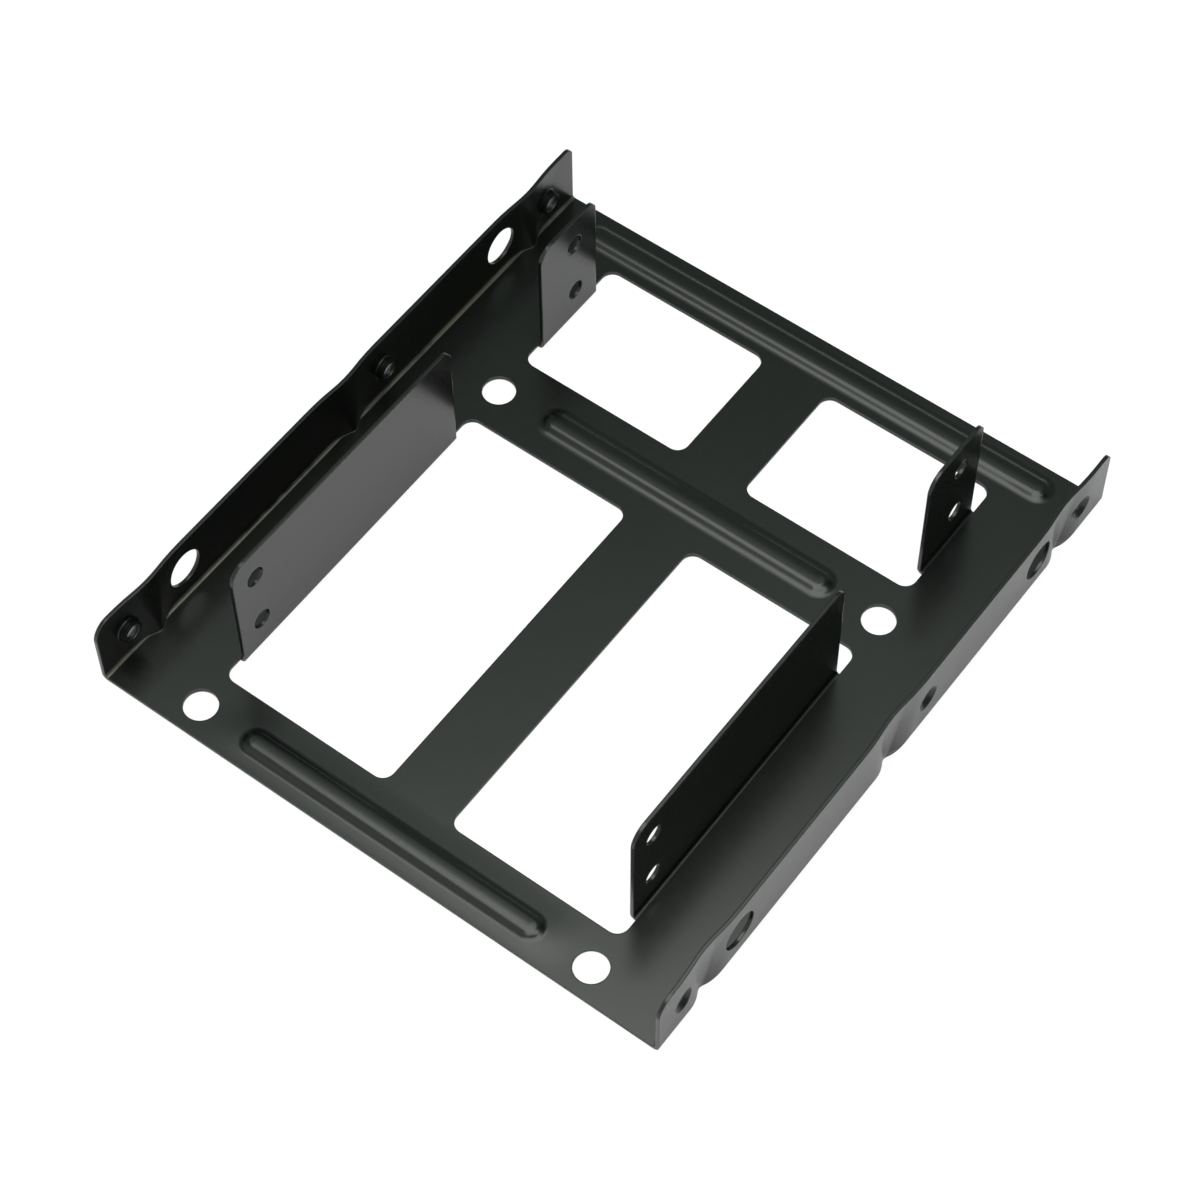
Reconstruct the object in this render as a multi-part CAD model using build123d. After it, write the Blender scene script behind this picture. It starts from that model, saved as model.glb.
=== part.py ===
from build123d import *
from math import asin, atan, degrees, radians, sin
import os

# Drive bay adapter bracket: one folded sheet that carries small drives in a large drive bay.
# Millimetres. X runs across the bay, Y from the front edge to the rear edge, Z up.
# The origin is under the middle of the floor, on its lower face.

# sheet and folds
sheet = 0.6
bend_inside = 0.5
width = 101.6
length = 114.6

# side walls
wall_height = 12.7
wall_front_corner = 3.0
wall_rear_corner = 1.5

# floor bars and the windows between them
front_bar = 10.6
middle_bar = 13.55
rear_bar = 8.45
front_window_share = 0.72
centre_strip = 11.6
window_corner = 2.0

# upright tabs that hold the drives
tab_clear_width = 70.6
tab_height = 23.2
tab_front_corner = 3.0
tab_rear_corner = 1.8
front_tab_front_gap = 3.8
front_tab_rear_gap = 4.74
rear_tab_front_gap = 3.91
rear_tab_rear_gap = 5.16

# screw holes in the tabs, 76.6 apart, and the driver holes in line with them
front_drive_hole_inset = 4.6
rear_drive_hole_inset = 8.5
drive_hole_diameter = 3.4
drive_row_height = 6.6
drive_row_step = 11.05
driver_hole_diameter = 6.5

# fan holes in the floor, on a square of 71.5
fan_hole_spacing = 71.5
fan_hole_diameter = 5.35
fan_hole_front_inset = 4.7
fan_hole_middle_inset = 6.56

# threaded side holes with a pulled collar inside
side_hole_front_inset = 5.95
side_hole_step = 60.0
side_hole_rear_inset = 7.05
side_hole_height = 6.35
side_hole_core = 2.8
side_hole_lead_in = 0.8
collar_height = 1.2
collar_wall = 0.7
collar_rim_wall = 0.45

# raised stiffening beads across the floor
bead_slope = 38.0
bead_shoulder_radius = 1.6
bead_top_width = 1.8
bead_top_radius = 8.0
front_bead_width = 5.2
front_bead_inset = 4.6
middle_bead_width = 6.0
short_bead_length = 55.4
rear_bead_width = 5.6
rear_bead_margin = 6.1

# upright dimples pressed into the side walls
dimple_pitch = 45.75
dimple_shift = 0.3
dimple_start = 0.6
dimple_low_width = 9.0
dimple_low_depth = 1.2
dimple_low_radius = 1.2
dimple_top_width = 16.0
dimple_top_depth = 0.45
dimple_top_radius = 24.0

front_edge = -length / 2
bend_outside = bend_inside + sheet
wall_face = width / 2
tab_face = tab_clear_width / 2
tab_root = tab_face + bend_outside
reach = 2 * width
rear_edge = length / 2
windows_length = length - front_bar - middle_bar - rear_bar
front_window = windows_length * front_window_share
rear_window = windows_length - front_window
front_window_start = front_edge + front_bar
middle_bar_start = front_window_start + front_window
rear_window_start = middle_bar_start + middle_bar
front_tab_start = front_window_start + front_tab_front_gap
front_tab_length = front_window - front_tab_front_gap - front_tab_rear_gap
rear_tab_start = rear_window_start + rear_tab_front_gap
rear_tab_length = rear_window - rear_tab_front_gap - rear_tab_rear_gap


def side_mask(start, run, height, front_corner, rear_corner):
    # tall plate seen from the side, with its two upper corners rounded
    outline = Pos(start + run / 2, height / 2) * Rectangle(run, height)
    upper = outline.vertices().group_by(Axis.Y)[-1].sort_by(Axis.X)
    outline = fillet(upper[0], front_corner)
    upper = outline.vertices().group_by(Axis.X)[-1].sort_by(Axis.Y)
    outline = fillet(upper[-1], rear_corner)
    return extrude(Plane.YZ * outline, amount=reach, both=True)


def channel():
    # floor with a wall folded up along each side
    outer = Pos(0, wall_height / 2) * Rectangle(width, wall_height)
    outer = fillet(outer.vertices().group_by(Axis.Y)[0], bend_outside)
    inner = Pos(0, sheet + wall_height / 2) * Rectangle(width - 2 * sheet, wall_height)
    inner = fillet(inner.vertices().group_by(Axis.Y)[0], bend_inside)
    folded = extrude(Plane.XZ * (outer - inner), amount=length / 2, both=True)
    mask = side_mask(front_edge, length, wall_height, wall_front_corner, wall_rear_corner)
    return folded & mask


def window_cut(start, run):
    # one window, from the strip in the middle out to the fold of its tab
    strip_side = centre_strip / 2
    opening = RectangleRounded(tab_root - strip_side, run, window_corner)
    opening = Pos((tab_root + strip_side) / 2, start + run / 2) * opening
    return extrude(opening, amount=reach, both=True)


def tab(start, run):
    # tab folded up from the outer edge of a window, its smooth face toward the drive
    foot = bend_outside + sheet
    outer = Pos(tab_face + foot / 2, tab_height / 2) * Rectangle(foot, tab_height)
    outer = fillet(outer.vertices().group_by(Axis.Y)[0].sort_by(Axis.X)[0], bend_outside)
    inner = Pos(tab_face + sheet + foot / 2, sheet + tab_height / 2) * Rectangle(foot, tab_height)
    inner = fillet(inner.vertices().group_by(Axis.Y)[0].sort_by(Axis.X)[0], bend_inside)
    folded = extrude(Plane.XZ * (outer - inner), amount=reach, both=True)
    return folded & side_mask(start, run, tab_height, tab_front_corner, tab_rear_corner)


def bead_edge(half_width, offset, base):
    # foot, shoulder, low dome, shoulder and foot that meet smoothly, moved outward by an offset
    top_turn = degrees(asin(bead_top_width / 2 / bead_top_radius))
    shoulder_turn = bead_slope - top_turn
    slope_sine = sin(radians(bead_slope))
    slope_run = half_width - bead_top_width / 2
    shoulder_run = bead_shoulder_radius * (slope_sine - sin(radians(top_turn)))
    foot_radius = (slope_run - shoulder_run) / slope_sine - offset
    shoulder_radius = bead_shoulder_radius + offset
    foot = JernArc((-half_width, base), (1, 0), foot_radius, bead_slope)
    shoulder = JernArc(foot @ 1, foot % 1, shoulder_radius, -shoulder_turn)
    top = JernArc(shoulder @ 1, shoulder % 1, bead_top_radius + offset, -2 * top_turn)
    far_shoulder = JernArc(top @ 1, top % 1, shoulder_radius, -shoulder_turn)
    far_foot = JernArc(far_shoulder @ 1, far_shoulder % 1, foot_radius, bead_slope)
    return [foot, shoulder, top, far_shoulder, far_foot]


def bead_section(across):
    # the sheet seen across a bead, equally thick everywhere
    half = across / 2
    below = bead_edge(half, -sheet, 0)
    above = bead_edge(half, 0, sheet)
    left = Line((-half, 0), (-half, sheet))
    right = Line((half, 0), (half, sheet))
    return make_face(Curve() + [*below, *above, left, right])


def bead(run, across, y):
    # straight bead along X with a round end at each side
    section = bead_section(across)
    half_run = (run - across) / 2
    straight = extrude(Plane.YZ * section, amount=half_run, both=True)
    half_section = section & (Pos(across / 2, 0) * Rectangle(across, reach))
    dome = revolve(Plane.XZ * half_section, Axis.Z, 360)
    ends = Pos(half_run, 0) * dome + Pos(-half_run, 0) * dome
    gap = Box(2 * half_run, reach, reach)
    return Pos(0, y) * (straight + (ends - gap))


def bead_slot(run, across, y):
    # room that a bead takes in the flat floor
    return Pos(0, y) * extrude(SlotOverall(run, across), amount=reach, both=True)


def dimple_edge(half_width, rise, crest_radius):
    # foot arc, crest arc and foot arc that meet smoothly
    turn = 2 * atan(rise / half_width)
    foot_radius = half_width / sin(turn) - crest_radius
    angle = degrees(turn)
    first = JernArc((-half_width, 0), (1, 0), foot_radius, angle)
    crest = JernArc(first @ 1, first % 1, crest_radius, -2 * angle)
    last = JernArc(crest @ 1, crest % 1, foot_radius, angle)
    return [first, crest, last]


def dimple_form(face_x, bottom):
    # pressed form behind a wall face, deep and narrow below, shallow and wide above
    low = dimple_edge(dimple_low_width / 2, dimple_low_depth, dimple_low_radius)
    top = dimple_edge(dimple_top_width / 2, dimple_top_depth, dimple_top_radius)
    sections = []
    for edges, level in ((low, bottom), (top, wall_height)):
        closing = Line(edges[2] @ 1, edges[0] @ 0)
        face = make_face(Curve() + [*edges, closing])
        sections.append(Plane((face_x, 0, level), x_dir=(0, 1, 0), z_dir=(0, 0, 1)) * face)
    return loft(sections, ruled=True)


def press_dimples(body):
    # three dimples in each wall; what is pushed in outside comes out inside
    outside = dimple_form(wall_face, 0)
    inside = dimple_form(wall_face - sheet, dimple_start)
    for step in (-1, 0, 1):
        place = Pos(0, step * dimple_pitch - dimple_shift)
        body = body + place * inside + mirror(place * inside, Plane.YZ)
        body = body - place * outside - mirror(place * outside, Plane.YZ)
    return body


def side_positions():
    first = front_edge + side_hole_front_inset
    return (first, first + side_hole_step, rear_edge - side_hole_rear_inset)


def collar():
    # ring pulled out of the wall around a side hole, narrower at its rim
    root = side_hole_core / 2 + collar_wall
    rim = side_hole_core / 2 + collar_rim_wall
    height = collar_height + sheet / 2
    ring = Cone(root, rim, height, align=(Align.CENTER, Align.CENTER, Align.MIN))
    return Pos(wall_face - sheet / 2, 0, side_hole_height) * Rot(0, -90, 0) * ring


def side_bore():
    # plain core of a side hole with its flared mouth on the outside
    core = side_hole_core / 2
    mouth = core + side_hole_lead_in
    depth = wall_face - tab_root
    outline = Polyline(
        (0, 0),
        (0, -depth),
        (core, -depth),
        (core, -side_hole_lead_in),
        (mouth, 0),
        (0, 0),
    )
    bore = revolve(Plane.XZ * make_face(outline), Axis.Z, 360)
    return Pos(wall_face, 0, side_hole_height) * Rot(0, 90, 0) * bore


def add_side_holes(body):
    for y in side_positions():
        ring = Pos(0, y) * collar()
        body = body + ring + mirror(ring, Plane.YZ)
    for y in side_positions():
        bore = Pos(0, y) * side_bore()
        body = body - bore - mirror(bore, Plane.YZ)
    return body


def round_cut_along_x(diameter, y, z):
    return Pos(0, y, z) * Rot(0, 90, 0) * Cylinder(diameter / 2, reach)


def drill_drive_holes(body):
    # driver holes through both walls, then two rows of screw holes through the tabs
    clear = wall_face + tab_root
    front = front_tab_start + front_drive_hole_inset
    rear = rear_tab_start + rear_drive_hole_inset
    for y in (front, rear):
        driver = round_cut_along_x(driver_hole_diameter, y, drive_row_height)
        body = body - (driver - Box(clear, reach, reach))
        for level in (drive_row_height, drive_row_height + drive_row_step):
            screw = round_cut_along_x(drive_hole_diameter, y, level)
            body = body - (screw & Box(clear, reach, reach))
    return body


def drill_fan_holes(body):
    front = front_edge + fan_hole_front_inset
    middle = middle_bar_start + fan_hole_middle_inset
    for x in (-fan_hole_spacing / 2, fan_hole_spacing / 2):
        for y in (front, middle):
            body = body - Pos(x, y) * Cylinder(fan_hole_diameter / 2, reach)
    return body


def make_bracket():
    body = press_dimples(channel())
    front = window_cut(front_window_start, front_window)
    rear = window_cut(rear_window_start, rear_window)
    for opening in (front, rear):
        body = body - opening - mirror(opening, Plane.YZ)
    for upright in (tab(front_tab_start, front_tab_length), tab(rear_tab_start, rear_tab_length)):
        body = body + upright + mirror(upright, Plane.YZ)
    bead_rows = (
        (short_bead_length, front_bead_width, front_edge + front_bead_inset),
        (short_bead_length, middle_bead_width, middle_bar_start + middle_bar / 2),
        (width - 2 * rear_bead_margin, rear_bead_width, rear_edge - rear_bar / 2),
    )
    for run, across, y in bead_rows:
        body = body - bead_slot(run, across, y) + bead(run, across, y)
    body = add_side_holes(body)
    body = drill_drive_holes(body)
    body = drill_fan_holes(body)
    return body


os.makedirs("parts", exist_ok=True)
bracket = make_bracket()
bracket.label = "bracket"
export_step(bracket, "parts/bracket.step")
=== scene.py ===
import math

import bpy
from mathutils import Matrix, Vector


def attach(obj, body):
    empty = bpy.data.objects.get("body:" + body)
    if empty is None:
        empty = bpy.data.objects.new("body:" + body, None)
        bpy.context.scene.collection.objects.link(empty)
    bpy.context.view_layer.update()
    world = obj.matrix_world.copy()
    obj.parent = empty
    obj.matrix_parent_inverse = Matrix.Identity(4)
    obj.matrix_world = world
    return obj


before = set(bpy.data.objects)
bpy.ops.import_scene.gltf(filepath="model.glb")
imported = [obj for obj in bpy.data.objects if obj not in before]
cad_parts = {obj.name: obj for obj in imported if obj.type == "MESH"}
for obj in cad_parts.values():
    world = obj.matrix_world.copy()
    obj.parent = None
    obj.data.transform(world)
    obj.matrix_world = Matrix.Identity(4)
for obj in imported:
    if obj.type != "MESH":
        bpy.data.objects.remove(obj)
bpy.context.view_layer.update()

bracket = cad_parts["bracket"]
print("frame loaded")


# camera, fitted to the photo's straight edges and hole centres
cameraSettings = {
    "place": (0.158834, -0.212641, 0.403675),
    "azimuth": 37.102,
    "elevation": 56.891,
    "roll": -0.461,
    "lens": 96.468,
    "sensor": 36.0,
    "clip": (0.01, 20.0),
}


def addCamera(settings):
    azimuth = math.radians(settings["azimuth"])
    elevation = math.radians(settings["elevation"])
    roll = math.radians(settings["roll"])
    back = Vector((
        math.sin(azimuth) * math.cos(elevation),
        -math.cos(azimuth) * math.cos(elevation),
        math.sin(elevation),
    ))
    side = Vector((math.cos(azimuth), math.sin(azimuth), 0.0))
    up = back.cross(side)
    turnedSide = math.cos(roll) * side + math.sin(roll) * up
    turnedUp = -math.sin(roll) * side + math.cos(roll) * up
    data = bpy.data.cameras.new("photoCamera")
    data.lens = settings["lens"]
    data.sensor_width = settings["sensor"]
    data.sensor_fit = "HORIZONTAL"
    data.clip_start, data.clip_end = settings["clip"]
    camera = bpy.data.objects.new("photoCamera", data)
    bpy.context.scene.collection.objects.link(camera)
    turn = Matrix((turnedSide, turnedUp, back)).transposed().to_4x4()
    camera.matrix_world = Matrix.Translation(settings["place"]) @ turn
    bpy.context.scene.camera = camera


addCamera(cameraSettings)
print("camera placed")


# small helpers for shader nodes
def newMaterial(name):
    material = bpy.data.materials.new(name)
    material.use_nodes = True
    tree = material.node_tree
    tree.nodes.clear()
    return material, tree


def addNode(tree, kind, **values):
    node = tree.nodes.new(kind)
    for key, value in values.items():
        setattr(node, key, value)
    return node


def split(tree, place):
    node = addNode(tree, "ShaderNodeSeparateXYZ")
    tree.links.new(place, node.inputs[0])
    return node.outputs


def calculated(tree, operation, first, second):
    # one step of arithmetic; the second value may be a socket or a plain number
    node = addNode(tree, "ShaderNodeMath", operation=operation)
    tree.links.new(first, node.inputs[0])
    if isinstance(second, float):
        node.inputs[1].default_value = second
    else:
        tree.links.new(second, node.inputs[1])
    return node.outputs[0]


def mapped(tree, value, fromRange, toRange, kind="SMOOTHSTEP"):
    # a value carried from one range to another
    node = addNode(tree, "ShaderNodeMapRange", interpolation_type=kind)
    node.inputs["From Min"].default_value, node.inputs["From Max"].default_value = fromRange
    node.inputs["To Min"].default_value, node.inputs["To Max"].default_value = toRange
    tree.links.new(value, node.inputs["Value"])
    return node.outputs["Result"]


def distanceTo(tree, place, target):
    node = addNode(tree, "ShaderNodeVectorMath", operation="DISTANCE")
    tree.links.new(place, node.inputs[0])
    node.inputs[1].default_value = target
    return node.outputs["Value"]


def noise(tree, place, scale, detail):
    node = addNode(tree, "ShaderNodeTexNoise")
    node.inputs["Scale"].default_value = scale
    node.inputs["Detail"].default_value = detail
    tree.links.new(place, node.inputs["Vector"])
    return node.outputs["Fac"]


def mixedColour(tree, factor, first, second):
    # from the first colour, a socket or plain values, to the second
    node = addNode(tree, "ShaderNodeMix", data_type="RGBA")
    tree.links.new(factor, node.inputs["Factor"])
    if isinstance(first, tuple):
        node.inputs["A"].default_value = first
    else:
        tree.links.new(first, node.inputs["A"])
    node.inputs["B"].default_value = second
    return node.outputs["Result"]


# places of the side holes, the same in both walls
sideHoles = {
    "rows": {"Front": -0.05135, "Middle": 0.00865, "Rear": 0.05025},
    "height": 0.00635,
}

# satin black paint on sheet steel
paintSettings = {
    "colour": (0.0026, 0.0032, 0.0028, 1.0),
    "dustColour": (0.0042, 0.0050, 0.0045, 1.0),
    "cloudScale": 60.0,
    "cloudDetail": 5.0,
    "ior": 1.5,
    "specular": 0.5,
    "roughness": (0.21, 0.28),
    "roughnessScale": 900.0,
    "roughnessDetail": 3.0,
    "peelScale": 1500.0,
    "peelDetail": 2.0,
    "peelHeight": 0.000012,
    "peelStrength": 0.09,
    "edgeRadius": 0.00028,
    "edgeSamples": 6,
    # painted highlight: the softened edges are painted paler
    "edgeHighlightColour": (0.012, 0.013, 0.0125, 1.0),
    "edgeTurn": (0.78, 0.97),
    "domeRise": 0.00018,
    "domeRow": (-0.0573, -0.0527, -0.0467),
    "domeReach": (0.026, 0.034),
    "domeLevel": (0.0016, 0.0024),
    # painted highlight along the inside of the folds
    "foldHighlightColour": (0.062, 0.058, 0.048, 1.0),
    "foldPlace": (0.05005, 0.0, 0.00075),
    "foldReach": (0.00026, 0.00048),
    "foldPatchScale": 170.0,
    "foldPatchDetail": 4.0,
    "foldPatches": (0.35, 0.62),
    "foldShares": (0.15, 1.0),
    "collarStart": (0.0475, 0.0480),
    "collarEnd": (0.04995, 0.05015),
    "collarReach": (0.0022, 0.0023),
    "boreReach": (0.00145, 0.00165),
    "collarRoughness": 0.12,
    "collarSpecular": 0.06,
    "ringPitch": 0.00042,
    "ringRise": 0.00003,
}


def domeHeight(tree, place, settings):
    # the front bar stands very slightly domed round its bead, from the pressing
    parts = split(tree, place)
    across = calculated(tree, "ABSOLUTE", parts["X"], 0.0)
    inReach = mapped(tree, across, settings["domeReach"], (1.0, 0.0))
    low = mapped(tree, parts["Z"], settings["domeLevel"], (1.0, 0.0))
    mask = calculated(tree, "MULTIPLY", inReach, low)
    start, crest, end = settings["domeRow"]
    rise = mapped(tree, parts["Y"], (start, crest), (0.0, 1.0))
    fall = mapped(tree, parts["Y"], (crest, end), (1.0, 0.0))
    row = calculated(tree, "MULTIPLY", rise, fall)
    shaped = calculated(tree, "MULTIPLY", row, mask)
    return calculated(tree, "MULTIPLY", shaped, settings["domeRise"])


def paintedFoldHighlight(tree, place, settings):
    # painted highlight: the inside of each wall's fold is painted paler, unevenly along its length
    parts = split(tree, place)
    section = addNode(tree, "ShaderNodeCombineXYZ")
    tree.links.new(calculated(tree, "ABSOLUTE", parts["X"], 0.0), section.inputs["X"])
    tree.links.new(parts["Z"], section.inputs["Z"])
    away = distanceTo(tree, section.outputs["Vector"], settings["foldPlace"])
    near = mapped(tree, away, settings["foldReach"], (1.0, 0.0))
    patches = noise(tree, place, settings["foldPatchScale"], settings["foldPatchDetail"])
    share = mapped(tree, patches, settings["foldPatches"], settings["foldShares"])
    return calculated(tree, "MULTIPLY", near, share)


def collarAreas(tree, place, settings, holes):
    # 1 on the pulled collars inside the side walls and in their bores, 0 elsewhere,
    # with the distance from the middle
    parts = split(tree, place)
    across = calculated(tree, "ABSOLUTE", parts["X"], 0.0)
    start = mapped(tree, across, settings["collarStart"], (0.0, 1.0))
    end = mapped(tree, across, settings["collarEnd"], (1.0, 0.0))
    between = calculated(tree, "MULTIPLY", start, end)
    flat = addNode(tree, "ShaderNodeCombineXYZ")
    tree.links.new(parts["Y"], flat.inputs["Y"])
    tree.links.new(parts["Z"], flat.inputs["Z"])
    nearest = None
    for row in holes["rows"].values():
        away = distanceTo(tree, flat.outputs["Vector"], (0.0, row, holes["height"]))
        nearest = away if nearest is None else calculated(tree, "MINIMUM", nearest, away)
    whole = mapped(tree, nearest, settings["collarReach"], (1.0, 0.0))
    bore = mapped(tree, nearest, settings["boreReach"], (1.0, 0.0))
    collars = calculated(tree, "MULTIPLY", whole, between)
    bores = calculated(tree, "MULTIPLY", bore, between)
    return collars, bores, across


def collarRings(tree, collars, across, settings):
    # fine rings that the tap and the punch leave round a collar
    turns = calculated(tree, "MULTIPLY", across, 2 * math.pi / settings["ringPitch"])
    wave = calculated(tree, "SINE", turns, 0.0)
    shaped = calculated(tree, "MULTIPLY", wave, collars)
    return calculated(tree, "MULTIPLY", shaped, settings["ringRise"])


def makePaint(name, settings, holes):
    material, tree = newMaterial(name)
    links = tree.links
    output = addNode(tree, "ShaderNodeOutputMaterial")
    shader = addNode(tree, "ShaderNodeBsdfPrincipled")
    shader.inputs["IOR"].default_value = settings["ior"]
    links.new(shader.outputs["BSDF"], output.inputs["Surface"])
    place = addNode(tree, "ShaderNodeTexCoord").outputs["Object"]
    collars, bores, across = collarAreas(tree, place, settings, holes)

    # colour: faint clouds, paler paint where the softened edge turns away from the face as a painted
    # highlight, and a painted highlight along the inside of the folds
    clouds = noise(tree, place, settings["cloudScale"], settings["cloudDetail"])
    colour = mixedColour(tree, clouds, settings["colour"], settings["dustColour"])
    softEdge = addNode(tree, "ShaderNodeBevel", samples=settings["edgeSamples"])
    softEdge.inputs["Radius"].default_value = settings["edgeRadius"]
    facing = addNode(tree, "ShaderNodeNewGeometry")
    turned = addNode(tree, "ShaderNodeVectorMath", operation="DOT_PRODUCT")
    links.new(softEdge.outputs["Normal"], turned.inputs[0])
    links.new(facing.outputs["Normal"], turned.inputs[1])
    # painted highlight: 1 where the bevelled normal turns away from the face, where the paler colour
    # goes
    edge = mapped(tree, turned.outputs["Value"], settings["edgeTurn"], (1.0, 0.0))
    colour = mixedColour(tree, edge, colour, settings["edgeHighlightColour"])
    # painted highlight along the inside of the folds
    colour = mixedColour(tree, paintedFoldHighlight(tree, place, settings), colour, settings["foldHighlightColour"])
    links.new(colour, shader.inputs["Base Color"])

    # sheen: a fine grain, and duller collars whose bores and threads alone keep theirs
    grain = noise(tree, place, settings["roughnessScale"], settings["roughnessDetail"])
    spread = mapped(tree, grain, (0.0, 1.0), settings["roughness"], "LINEAR")
    duller = calculated(tree, "MULTIPLY", collars, settings["collarRoughness"])
    links.new(calculated(tree, "ADD", spread, duller), shader.inputs["Roughness"])
    outside = calculated(tree, "SUBTRACT", collars, bores)
    specular = mapped(tree, outside, (0.0, 1.0), (settings["specular"], settings["collarSpecular"]))
    links.new(specular, shader.inputs["Specular IOR Level"])

    # relief: the domed bar and the collars' rings in metres, and a slight orange peel
    domed = domeHeight(tree, place, settings)
    ringed = collarRings(tree, collars, across, settings)
    relief = addNode(tree, "ShaderNodeBump")
    relief.inputs["Distance"].default_value = 1.0
    links.new(calculated(tree, "ADD", domed, ringed), relief.inputs["Height"])
    links.new(softEdge.outputs["Normal"], relief.inputs["Normal"])
    peel = addNode(tree, "ShaderNodeBump")
    peel.inputs["Strength"].default_value = settings["peelStrength"]
    peel.inputs["Distance"].default_value = settings["peelHeight"]
    links.new(noise(tree, place, settings["peelScale"], settings["peelDetail"]), peel.inputs["Height"])
    links.new(relief.outputs["Normal"], peel.inputs["Normal"])
    links.new(peel.outputs["Normal"], shader.inputs["Normal"])
    return material


paint = makePaint("blackPaint", paintSettings, sideHoles)
for slot in bracket.material_slots:
    slot.material = paint
print("paint on the bracket")


# screw threads in the side holes
threadSettings = {
    "pitch": 0.000794,
    "rootRadius": 0.00139,
    "crestRadius": 0.00122,
    "flankShare": 0.42,
    "crestShare": 0.12,
    "inner": 0.0491,
    "outer": 0.0500,
    "stepsPerTurn": 48,
}


def threadMesh(name, settings):
    # a ridge that winds along the hole's wall
    pitch = settings["pitch"]
    length = settings["outer"] - settings["inner"]
    turns = length / pitch
    count = int(turns * settings["stepsPerTurn"])
    flank = settings["flankShare"] * pitch
    crest = settings["crestShare"] * flank
    profile = (
        (-flank, settings["rootRadius"]),
        (-crest, settings["crestRadius"]),
        (crest, settings["crestRadius"]),
        (flank, settings["rootRadius"]),
    )
    points = []
    faces = []
    for step in range(count + 1):
        angle = 2 * math.pi * step / settings["stepsPerTurn"]
        along = length * step / count
        for offset, radius in profile:
            reach = min(max(along + offset, 0.0), length)
            points.append((reach, radius * math.cos(angle), radius * math.sin(angle)))
    width = len(profile)
    for step in range(count):
        for part in range(width - 1):
            first = step * width + part
            faces.append((first, first + 1, first + 1 + width, first + width))
    mesh = bpy.data.meshes.new(name)
    mesh.from_pydata(points, [], faces)
    mesh.validate()
    for polygon in mesh.polygons:
        polygon.use_smooth = True
    return mesh


def addThreads(settings, holes, material):
    for side, sideName in ((1.0, "Right"), (-1.0, "Left")):
        for rowName, row in holes["rows"].items():
            name = "thread" + rowName + sideName
            piece = bpy.data.objects.new(name, threadMesh(name, settings))
            bpy.context.scene.collection.objects.link(piece)
            turn = Matrix.Identity(4) if side > 0 else Matrix.Rotation(math.pi, 4, "Z")
            start = Matrix.Translation((side * settings["inner"], row, holes["height"]))
            piece.data.transform(start @ turn)
            piece.data.materials.append(material)
            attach(piece, "root")


addThreads(threadSettings, sideHoles, paint)
print("threads cut")


# pale floor that looks white to the camera, partly so in reflections, and keeps the shadow
floorSettings = {
    "size": 6.0,
    "drop": 0.00005,
    "colour": (0.82, 0.78, 0.84, 1.0),
    "whiteStrength": 1.06,
    "cameraShare": 0.86,
    "glossyShare": 0.15,
}


def addFloor(settings):
    half = settings["size"] / 2
    mesh = bpy.data.meshes.new("floor")
    corners = ((-half, -half), (half, -half), (half, half), (-half, half))
    mesh.from_pydata([(x, y, -settings["drop"]) for x, y in corners], [], [(0, 1, 2, 3)])
    floor = bpy.data.objects.new("floor", mesh)
    bpy.context.scene.collection.objects.link(floor)
    material, tree = newMaterial("paleFloor")
    links = tree.links
    output = addNode(tree, "ShaderNodeOutputMaterial")
    matt = addNode(tree, "ShaderNodeBsdfDiffuse")
    matt.inputs["Color"].default_value = settings["colour"]
    white = addNode(tree, "ShaderNodeEmission")
    white.inputs["Strength"].default_value = settings["whiteStrength"]
    path = addNode(tree, "ShaderNodeLightPath").outputs
    seen = calculated(tree, "MULTIPLY", path["Is Camera Ray"], settings["cameraShare"])
    mirrored = calculated(tree, "MAXIMUM", path["Is Glossy Ray"], path["Is Transmission Ray"])
    mirrored = calculated(tree, "MULTIPLY", mirrored, settings["glossyShare"])
    mix = addNode(tree, "ShaderNodeMixShader")
    links.new(calculated(tree, "ADD", seen, mirrored), mix.inputs["Fac"])
    links.new(matt.outputs["BSDF"], mix.inputs[1])
    links.new(white.outputs["Emission"], mix.inputs[2])
    links.new(mix.outputs["Shader"], output.inputs["Surface"])
    mesh.materials.append(material)


addFloor(floorSettings)
print("floor laid")


# surroundings, brighter on the near side, and white to the camera
worldSettings = {
    "nearLight": (0.85, 0.88, 0.84, 1.0),
    "farLight": (0.235, 0.285, 0.25, 1.0),
    "nearToFar": (-0.75, -0.1),
    "lightStrength": 1.0,
    "whiteStrength": 1.0,
}

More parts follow.
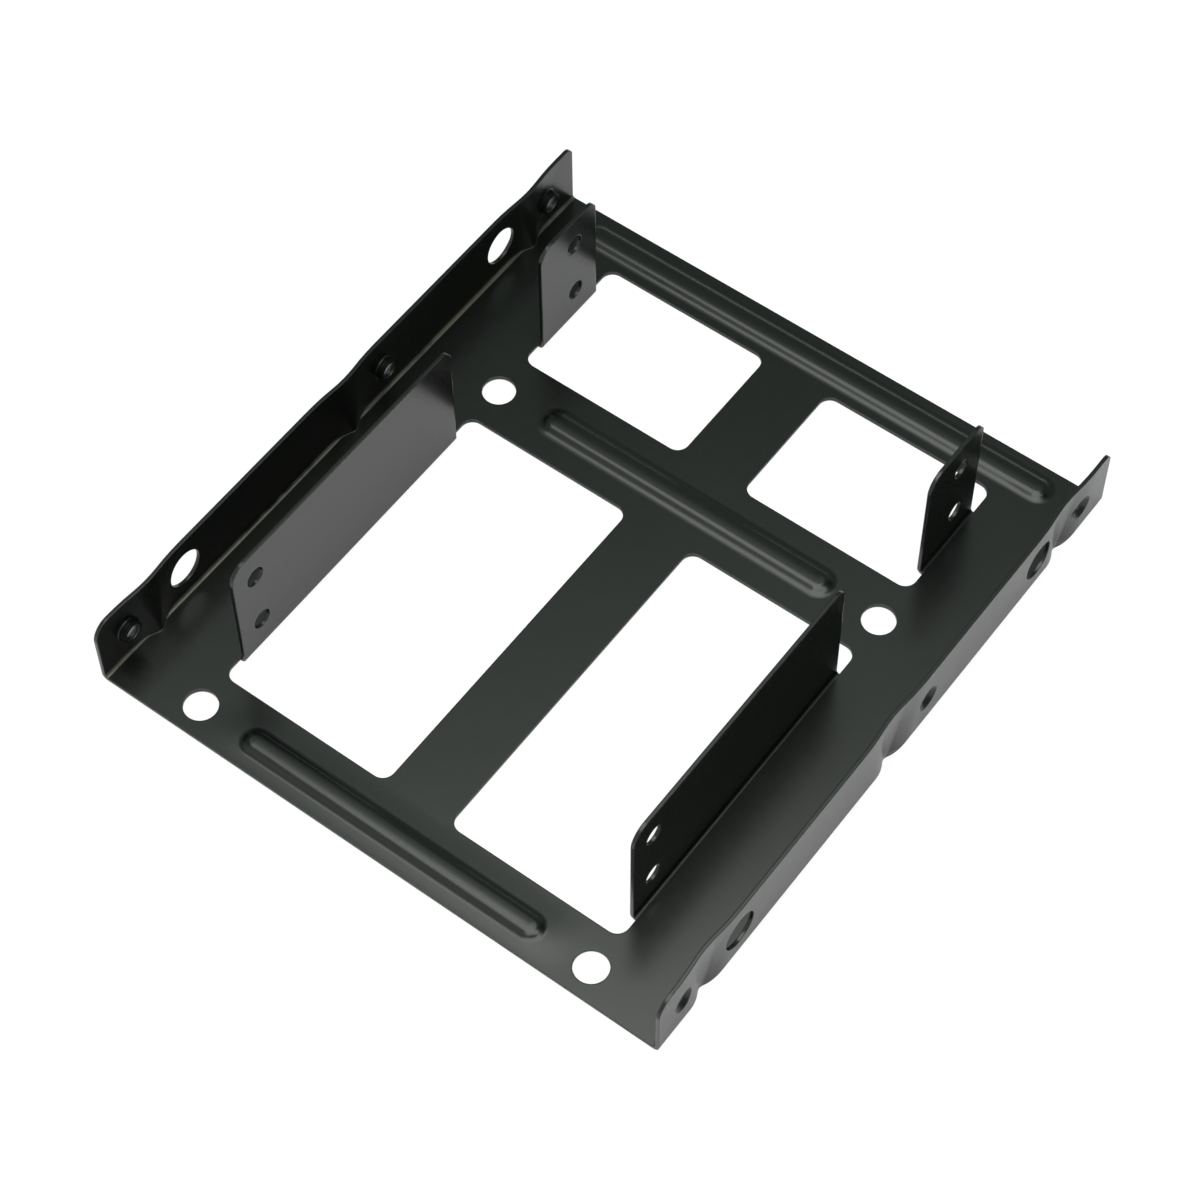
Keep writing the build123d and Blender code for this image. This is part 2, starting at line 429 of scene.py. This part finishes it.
# studio lamps: a wide soft box overhead, a smaller one to its right and a dim panel behind
lampSettings = {
    "softBox": {
        "place": (0.0278, -0.072, 0.45),
        "turn": 40.0,
        "size": (0.40, 0.475),
        "power": 1.96,
        "colour": (1.0, 1.04, 0.96),
    },
    "sideBox": {
        "place": (0.36, 0.034, 0.45),
        "turn": 40.0,
        "size": (0.245, 0.21),
        "power": 0.60,
        "colour": (1.0, 1.02, 1.0),
    },
    "dimPanel": {
        "place": (-0.160, 0.175, 0.45),
        "turn": 40.0,
        "size": (0.40, 0.146),
        "power": 0.110,
        "colour": (0.94, 1.04, 0.98),
    },
}


def addWorld(settings):
    world = bpy.data.worlds.new("studio")
    bpy.context.scene.world = world
    world.use_nodes = True
    tree = world.node_tree
    tree.nodes.clear()
    links = tree.links
    output = addNode(tree, "ShaderNodeOutputWorld")
    towards = split(tree, addNode(tree, "ShaderNodeTexCoord").outputs["Generated"])
    far = mapped(tree, towards["Y"], settings["nearToFar"], (0.0, 1.0))
    light = addNode(tree, "ShaderNodeBackground")
    light.inputs["Strength"].default_value = settings["lightStrength"]
    links.new(mixedColour(tree, far, settings["nearLight"], settings["farLight"]), light.inputs["Color"])
    white = addNode(tree, "ShaderNodeBackground")
    white.inputs["Strength"].default_value = settings["whiteStrength"]
    path = addNode(tree, "ShaderNodeLightPath")
    mix = addNode(tree, "ShaderNodeMixShader")
    links.new(path.outputs["Is Camera Ray"], mix.inputs["Fac"])
    links.new(light.outputs["Background"], mix.inputs[1])
    links.new(white.outputs["Background"], mix.inputs[2])
    links.new(mix.outputs["Shader"], output.inputs["Surface"])


def addLamps(lamps):
    # each lamp faces straight down and is turned about the upright
    for name, values in lamps.items():
        data = bpy.data.lights.new(name, "AREA")
        data.color = values["colour"]
        data.shape = "RECTANGLE"
        data.size, data.size_y = values["size"]
        data.energy = values["power"]
        lamp = bpy.data.objects.new(name, data)
        bpy.context.scene.collection.objects.link(lamp)
        turn = Matrix.Rotation(math.radians(values["turn"]), 4, "Z")
        lamp.matrix_world = Matrix.Translation(values["place"]) @ turn


addWorld(worldSettings)
addLamps(lampSettings)
bpy.context.scene.view_settings.view_transform = "Standard"
print("lights set")
